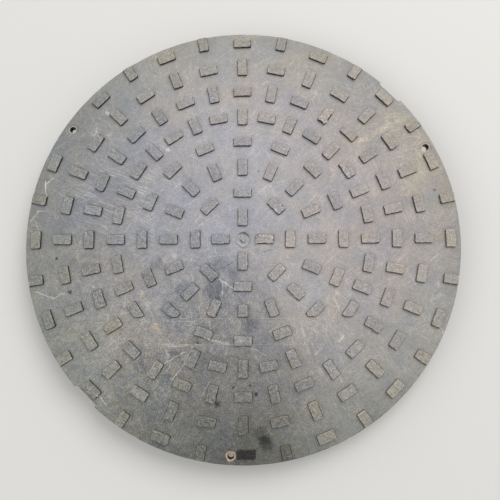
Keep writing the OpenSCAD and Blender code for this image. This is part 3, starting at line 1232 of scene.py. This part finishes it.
def worn_colour(spot, paleness, warm, greener=0.0):
    """The tints may go a little past their ends, so that the strongest marks still show."""
    w = spot.w
    grey = w.math("POWER", w.math("MAXIMUM", paleness, 0.05), SCREEN_POWER)
    green = w.within(w.total(mossiness(spot), greener), -0.5, 1.6)
    tint = w.mix(w.within(warm, -0.3, 1.4), COOL_TINT, WARM_TINT, past_ends=True)
    mossy = w.mix(green, tint, MOSS_TINT, blend="MULTIPLY", past_ends=True)
    return w.vector("SCALE", mossy, scale=grey)


def facing(w):
    """The shaded face's direction as its three parts."""
    return w.parts(w.node("ShaderNodeNewGeometry").outputs["Normal"])


def flank_colour(w):
    """Flanks keep the black of the moulding; those that face the far left are painted paler, as if lit.
    """
    x, y, _ = facing(w)
    return w.mix(w.fade(w.total((y, 0.9), (x, -0.45)), 0.12, 0.85), BLACK_PLASTIC, LIT_FLANK_TAN)


def plain_material(name):
    """A new material, its wiring, its shader's sockets, and the place that it shades."""
    made = bpy.data.materials.new(name)
    made.use_nodes = True
    w = Wiring(made.node_tree)
    place = w.node("ShaderNodeTexCoord").outputs["Object"]
    return made, w, made.node_tree.nodes["Principled BSDF"].inputs, place


def coat(w, shader, place, colour, roughness, grain):
    """Feeds the shader its colour and roughness, and a bump of the moulding's fine grain and
    the slow unevenness of worn plastic."""
    height = w.total(w.noise(place, 0.0009, detail=2.0), (w.noise(place, 0.006), 1.6))
    bump = w.node("ShaderNodeBump", {"Height": height, "Strength": 0.5, "Distance": grain})
    w.feed(shader["Base Color"], colour)
    w.feed(shader["Roughness"], roughness)
    w.feed(shader["Normal"], bump.outputs[0])


print("black plastic is", [round(c, 4) for c in BLACK_PLASTIC[:3]], "in linear values")

# %% Plate finish
RUST = screen(180, 145, 121)
PALE_RUST = screen(210, 180, 157)
RING_EDGE = 0.8


def around_hole(spot, hole, inner, outer):
    """A soft ring about one screw hole, from its inner to its outer radius in millimetres."""
    w = spot.w
    x, y = polar(SCREW_R * MM, math.radians(SCREW_ANGLES[hole]))
    away = w.vector("DISTANCE", spot.shaky, (x, y, 0.0))
    beyond = w.fade(away, outer * MM, (outer - RING_EDGE) * MM)
    return w.times(beyond, w.fade(away, (inner - RING_EDGE) * MM, inner * MM))


def plate_material(name, paler=0.0, warmer=0.0):
    made, w, shader, place = plain_material(name)
    spot = Spot(w, place)
    marks, smears = scratch_marks(spot), smear_marks(spot)
    placed, placed_warmth = placed_marks(spot)
    lips = w.total(
        (around_hole(spot, "left", 3.3, 4.6), 0.20), (around_hole(spot, "far right", 3.3, 5.2), 0.06)
    )
    tone = w.total(plate_tone(spot), marks, placed, lips, (smears, 0.06), paler)
    warm = warmth(spot, w.total(placed_warmth, (smears, 1.3), (marks, 1.5), (lips, 1.4), warmer))
    rust = w.mix(w.fade(w.noise(spot.flat, 0.0022), 0.35, 0.65), RUST, PALE_RUST)
    level = w.mix(around_hole(spot, "near", 2.9, 5.4), worn_colour(spot, tone, warm), rust)
    steep = w.fade(facing(w)["Z"], 0.62, 0.4)
    roughness = w.fade(steep, 0.0, 1.0, 0.56, 0.42)
    coat(w, shader, place, w.mix(steep, level, RIM_PLASTIC), roughness, 0.12 * MM)
    return made


PLATE_FINISH = plate_material("weathered_plate")
LINE_FINISH = plate_material("insert_line_plastic", paler=0.09, warmer=0.35)
print(PLATE_FINISH.name, "has", len(PLATE_FINISH.node_tree.nodes), "nodes")

# %% Gate finish
def gate_material():
    """A tan stub with painted shade on its near side, in a dish with painted shade on its far and right
    walls and a painted highlight on its near crest.
    """
    made, w, shader, place = plain_material("gate_plastic")
    spot = Spot(w, place)
    x, y, _ = facing(w)
    radius = w.vector("LENGTH", spot.flat)

    def ring(middle, reach, full):
        """1 near a radius in millimetres, fading out at the given reach on both sides."""
        away = w.math("ABSOLUTE", w.total(radius, -middle * MM))
        return w.fade(away, reach * MM, full * MM)

    stub = w.fade(radius, 4.9 * MM, 4.0 * MM)
    # Painted shade on the stub's near side and on the dish's far and right walls, and a painted
    # highlight on the near crest, set by where each lies or which way it faces.
    near_left = w.total((y, -0.9), (x, -0.3))
    shaded = w.times(w.fade(near_left, 0.05, 0.4), w.total(0.25, (stub, 0.75)))
    far_wall_shade = w.times(ring(6.35, 1.1, 0.2), w.fade(w.total(spot.y, (spot.x, 0.25)), 0.004, 0.026))
    right_wall_shade = w.times(ring(7.7, 0.9, 0.1), w.fade(w.total(spot.x, (spot.y, -0.35)), 0.008, 0.026))
    crest_highlight = w.times(ring(6.7, 1.0, 0.1), w.fade(spot.y, 0.01, -0.01))
    soiled = stain_mask(spot, 3.2, 6.0, 5.0)
    tone = w.total(
        plate_tone(spot), 0.02, (shaded, -0.26), (far_wall_shade, -0.20), (right_wall_shade, -0.12),
        (crest_highlight, 0.06), (soiled, -0.08), (spot.blotch(0.0016, lane=9.0), 0.25),
    )
    warm = warmth(spot, w.total((stub, 0.30), (soiled, 0.9)))
    coat(w, shader, place, worn_colour(spot, tone, warm, w.times(stub, 0.5)), 0.5, 0.2 * MM)
    return made


GATE_FINISH = gate_material()
print(GATE_FINISH.name, "has", len(GATE_FINISH.node_tree.nodes), "nodes")

# %% [markdown]
# A pad has three finishes in one. Its worn top is pale, and its flank keeps the black of the
# moulding, though flanks that face the far left are painted paler, as if lit. The little
# fillet at its foot is plate again, with a thin dark line against the flank that is partly
# dirt and partly painted shade. How far a point is drawn in, which the pad's mesh remembers,
# tells the three apart, so that a pad that was cut short still has its dark flank in the
# right place.

# %% Pad finish
def number_on(w, name):
    return w.node("ShaderNodeAttribute", attribute_name=name).outputs["Fac"]


def pad_top(spot, inward):
    """The worn top of a pad, with frayed edges and torn bites."""
    w, own = spot.w, number_on(spot.w, "tone")
    marks, smears = scratch_marks(spot), smear_marks(spot)
    placed, placed_warmth = placed_marks(spot)
    crumbs = w.fade(spot.blotch(0.0022, lane=7.0), -0.05, 0.15)
    along_edge = w.times(w.fade(inward, 0.3 * MM, 0.5 * MM), w.fade(inward, 1.9 * MM, 0.7 * MM))
    frayed = w.times(along_edge, crumbs)
    torn = w.times(w.fade(number_on(w, "chewed"), 0.2, 0.9), crumbs)
    level = w.total(
        pad_tone(spot, own), (marks, 0.8), (placed, 0.6), (smears, 0.05),
        (frayed, 0.08), (torn, 0.10), (number_on(w, "blackened"), -0.27),
    )
    extra = w.total(
        0.10, (own, 0.14), (w.fade(spot.out, 0.70, 0.95), 0.24), (spot.near(-0.35, -0.1, 0.6), -0.15),
        (placed_warmth, 0.6), (smears, 0.8), (frayed, 0.3), (torn, 0.7),
    )
    greener = w.times(spot.near(-0.55, 0.0, 1.0), 0.38)
    return worn_colour(spot, level, warmth(spot, extra), greener), placed


def pad_foot(spot, inward, placed):
    """The fillet at a pad's foot: plate with a dark line, partly dirt and partly painted shade, and
    dust near the near edge.
    """
    w = spot.w
    dusty = w.times(spot.near(-0.05, -0.85, 0.8), w.fade(inward, -0.35 * MM, -0.65 * MM))
    # A thin dark line along the flank's foot, partly dirt and partly painted shade.
    foot_line_shade_and_dirt = w.fade(inward, -0.65 * MM, -0.25 * MM)
    tone = w.total(plate_tone(spot), placed, (foot_line_shade_and_dirt, -0.07), (dusty, 0.10))
    return worn_colour(spot, tone, warmth(spot, w.total(0.15, (dusty, 0.4))))


def pad_material():
    made, w, shader, place = plain_material("weathered_pads")
    spot, inward = Spot(w, place), number_on(w, "drawn_in")
    top, placed = pad_top(spot, inward)
    foot = pad_foot(spot, inward, placed)
    upper = w.mix(w.fade(inward, 0.34 * MM, 0.11 * MM), top, flank_colour(w))
    colour = w.mix(w.fade(inward, -0.05 * MM, -0.3 * MM), upper, foot)
    roughness = w.fade(inward, 0.2 * MM, 0.6 * MM, 0.45, 0.6)
    coat(w, shader, place, colour, roughness, 0.2 * MM)
    return made


PAD_FINISH = pad_material()
print(PAD_FINISH.name, "has", len(PAD_FINISH.node_tree.nodes), "nodes")

# %% Underside finish
def underside_material():
    made, w, shader, place = plain_material("black_underside")
    colour = w.mix(w.noise(place, 0.03, detail=4.0), screen(44, 43, 43), screen(62, 60, 58))
    coat(w, shader, place, colour, 0.42, 0.1 * MM)
    return made


UNDERSIDE_FINISH = underside_material()
print(UNDERSIDE_FINISH.name, "has", len(UNDERSIDE_FINISH.node_tree.nodes), "nodes")

# %% [markdown]
# ## Growing the ribs and the tread
#
# With the finishes ready, both trees can run. The ribs start from a skeleton of lines, the
# tread from one point per pad. Each pad's point carries its angle, how much its tone differs
# from the others', and whether it is cut short, chewed or blackened.

# %% Grow both sets
dice = random.Random(11)
RIB_FOOT = 1.12 * RIB_T
RIB_DRAFT = 0.32
RIB_ROUND = 0.45
RIM_SPARE = 1.0
LOOSE_TURN = 0.8


def grown_ribs():
    values = {
        "Rib thickness": RIB_FOOT * MM, "Rib height": (UNDER_Z + RIB_ROOT - RIB_LIFT) * MM,
        "Draft": RIB_DRAFT * MM, "Edge round": RIB_ROUND * MM, "Material": UNDERSIDE_FINISH,
    }
    return grow(skeleton("cover_ribs", rib_points, rib_edges), rib_recipe, values)


def is_shortened(place):
    ring, _, _, y, _ = place
    return ring < RINGS and STRIP_TOP < y < STRIP_TOP + PAD_L


def grown_tread():
    numbers = {
        "turn": [p[4] + math.radians(dice.uniform(-LOOSE_TURN, LOOSE_TURN)) for p in places],
        "tone": [dice.uniform(-1, 1) for _ in places],
        "shortened": [1.0 if is_shortened(p) else 0.0 for p in places],
        "chewed": [CHEWED.get(p[:2], dice.uniform(0.05, 0.3)) for p in places],
        "blackened": [BLACKENED.get(p[:2], 0.0) for p in places],
    }
    points = skeleton("tread_pads", [(x, y, TOP) for _, _, x, y, _ in places], numbers=numbers)
    values = {
        "Pad": pad, "Rim limit": (RIM_R - RIM_SPARE) * MM, "Strip edge": (STRIP_TOP + STRIP_CLEAR) * MM,
        "Plate height": TOP * MM, "Edge wear": 1.3 * MM, "Wear grain": 2.4 * MM,
        "Bite depth": 7 * MM, "Bite size": 3.6 * MM, "Seed": 4, "Material": PAD_FINISH,
    }
    return grow(points, tread_recipe, values)


ribs = grown_ribs()
tread = grown_tread()
bpy.data.objects.remove(pad)
for piece in (ribs, tread):
    print(piece.name, "has", len(piece.data.polygons), "faces")

# %% [markdown]
# ## Finishing
#
# The hub where the ribs meet is a short drum. Then every piece gets its finish, rides on the
# one body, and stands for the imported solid.

# %% Hub, finishes and links to the frame
HUB_ROOT = 0.4
hub_section = [
    (0.0, UNDER_Z + HUB_ROOT), (HUB_R + 0.4, UNDER_Z + HUB_ROOT), (HUB_R + 0.25, UNDER_Z - 1),
    (HUB_R, RIB_LIFT + 0.5), (HUB_R - 0.5, RIB_LIFT), (0.0, RIB_LIFT),
]
hub = turned_solid("rib_hub", hub_section, TURN_STEPS)
for piece, finish in (
    (shell, PLATE_FINISH), (gate_mark, GATE_FINISH), (lines, LINE_FINISH), (hub, UNDERSIDE_FINISH),
):
    piece.data.materials.clear()
    piece.data.materials.append(finish)

pieces = [shell, ribs, hub, tread, gate_mark, lines]
for piece in pieces:
    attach(piece, "root")
    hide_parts("cover")

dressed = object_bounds()
for name, box in (("frame", cad_box), ("dressed", dressed)):
    print(name, [round(v / MM, 2) for corner in box for v in corner])
